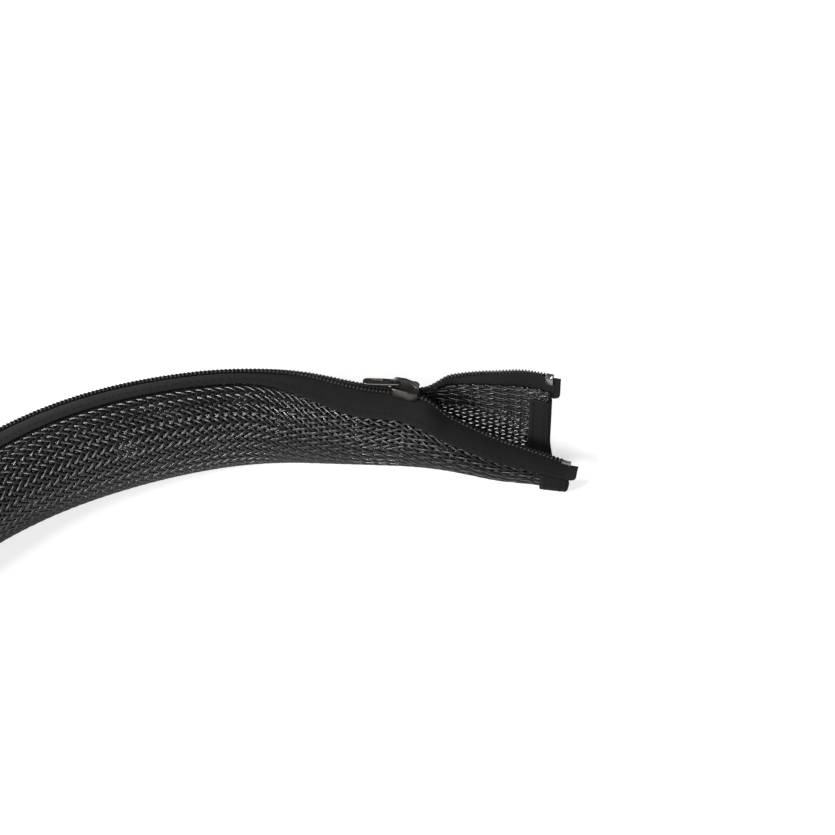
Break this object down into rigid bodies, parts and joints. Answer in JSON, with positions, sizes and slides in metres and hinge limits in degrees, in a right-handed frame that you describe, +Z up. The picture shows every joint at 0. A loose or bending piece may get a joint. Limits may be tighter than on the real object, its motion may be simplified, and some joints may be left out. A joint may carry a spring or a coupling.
{
  "type": "zippered cable sleeve",
  "caption": "Braided mesh tube with a coil zip along its length, lying in an arch and unzipped at its mouth, that gathers cables into one bundle.",
  "frame": {"origin": "middle of the sleeve's box, on the ground it lies on", "axes": "+X towards the unzipped mouth, +Y away from the inside of the arch, +Z up"},
  "size_m": [0.3682, 0.3162, 0.0375],
  "materials": {
    "braid": "black monofilament braid with a soft gloss",
    "tape": "black woven tape, matte",
    "coil": "black nylon coil, satin",
    "thread": "black sewing thread",
    "slider": "gunmetal plating, worn bright on the edges",
    "stop": "bright pressed metal"
  },
  "bodies": {
    "sleeve": {"braid_sleeve": "braid", "zip_tape_front": "tape", "zip_tape_back": "tape", "zip_coil_front": "coil", "zip_coil_back": "coil", "top_stop_front": "stop", "top_stop_back": "stop", "bottom_stop": "stop", "hem_mouth": "tape", "hem_far": "tape", "tape_seam_front": "thread", "tape_seam_back": "thread"},
    "slider": {"slider_body": "slider"},
    "pull": {"pull_tab": "slider"}
  },
  "joints": [
    {"name": "slider_travel", "type": "slide", "parent": "sleeve", "child": "slider", "axis": [-0.9942, 0.0668, 0.0848], "range_m": [0, 0.01], "deforming": ["zip_coil_front", "zip_coil_back", "zip_tape_front", "zip_tape_back"]},
    {"name": "pull_hinge", "type": "hinge", "parent": "slider", "child": "pull", "pos_m": [0.12379, 0.14227, 0.03152], "axis": [0.0394, 0.9559, -0.291], "range_deg": [0, 130]}
  ]
}
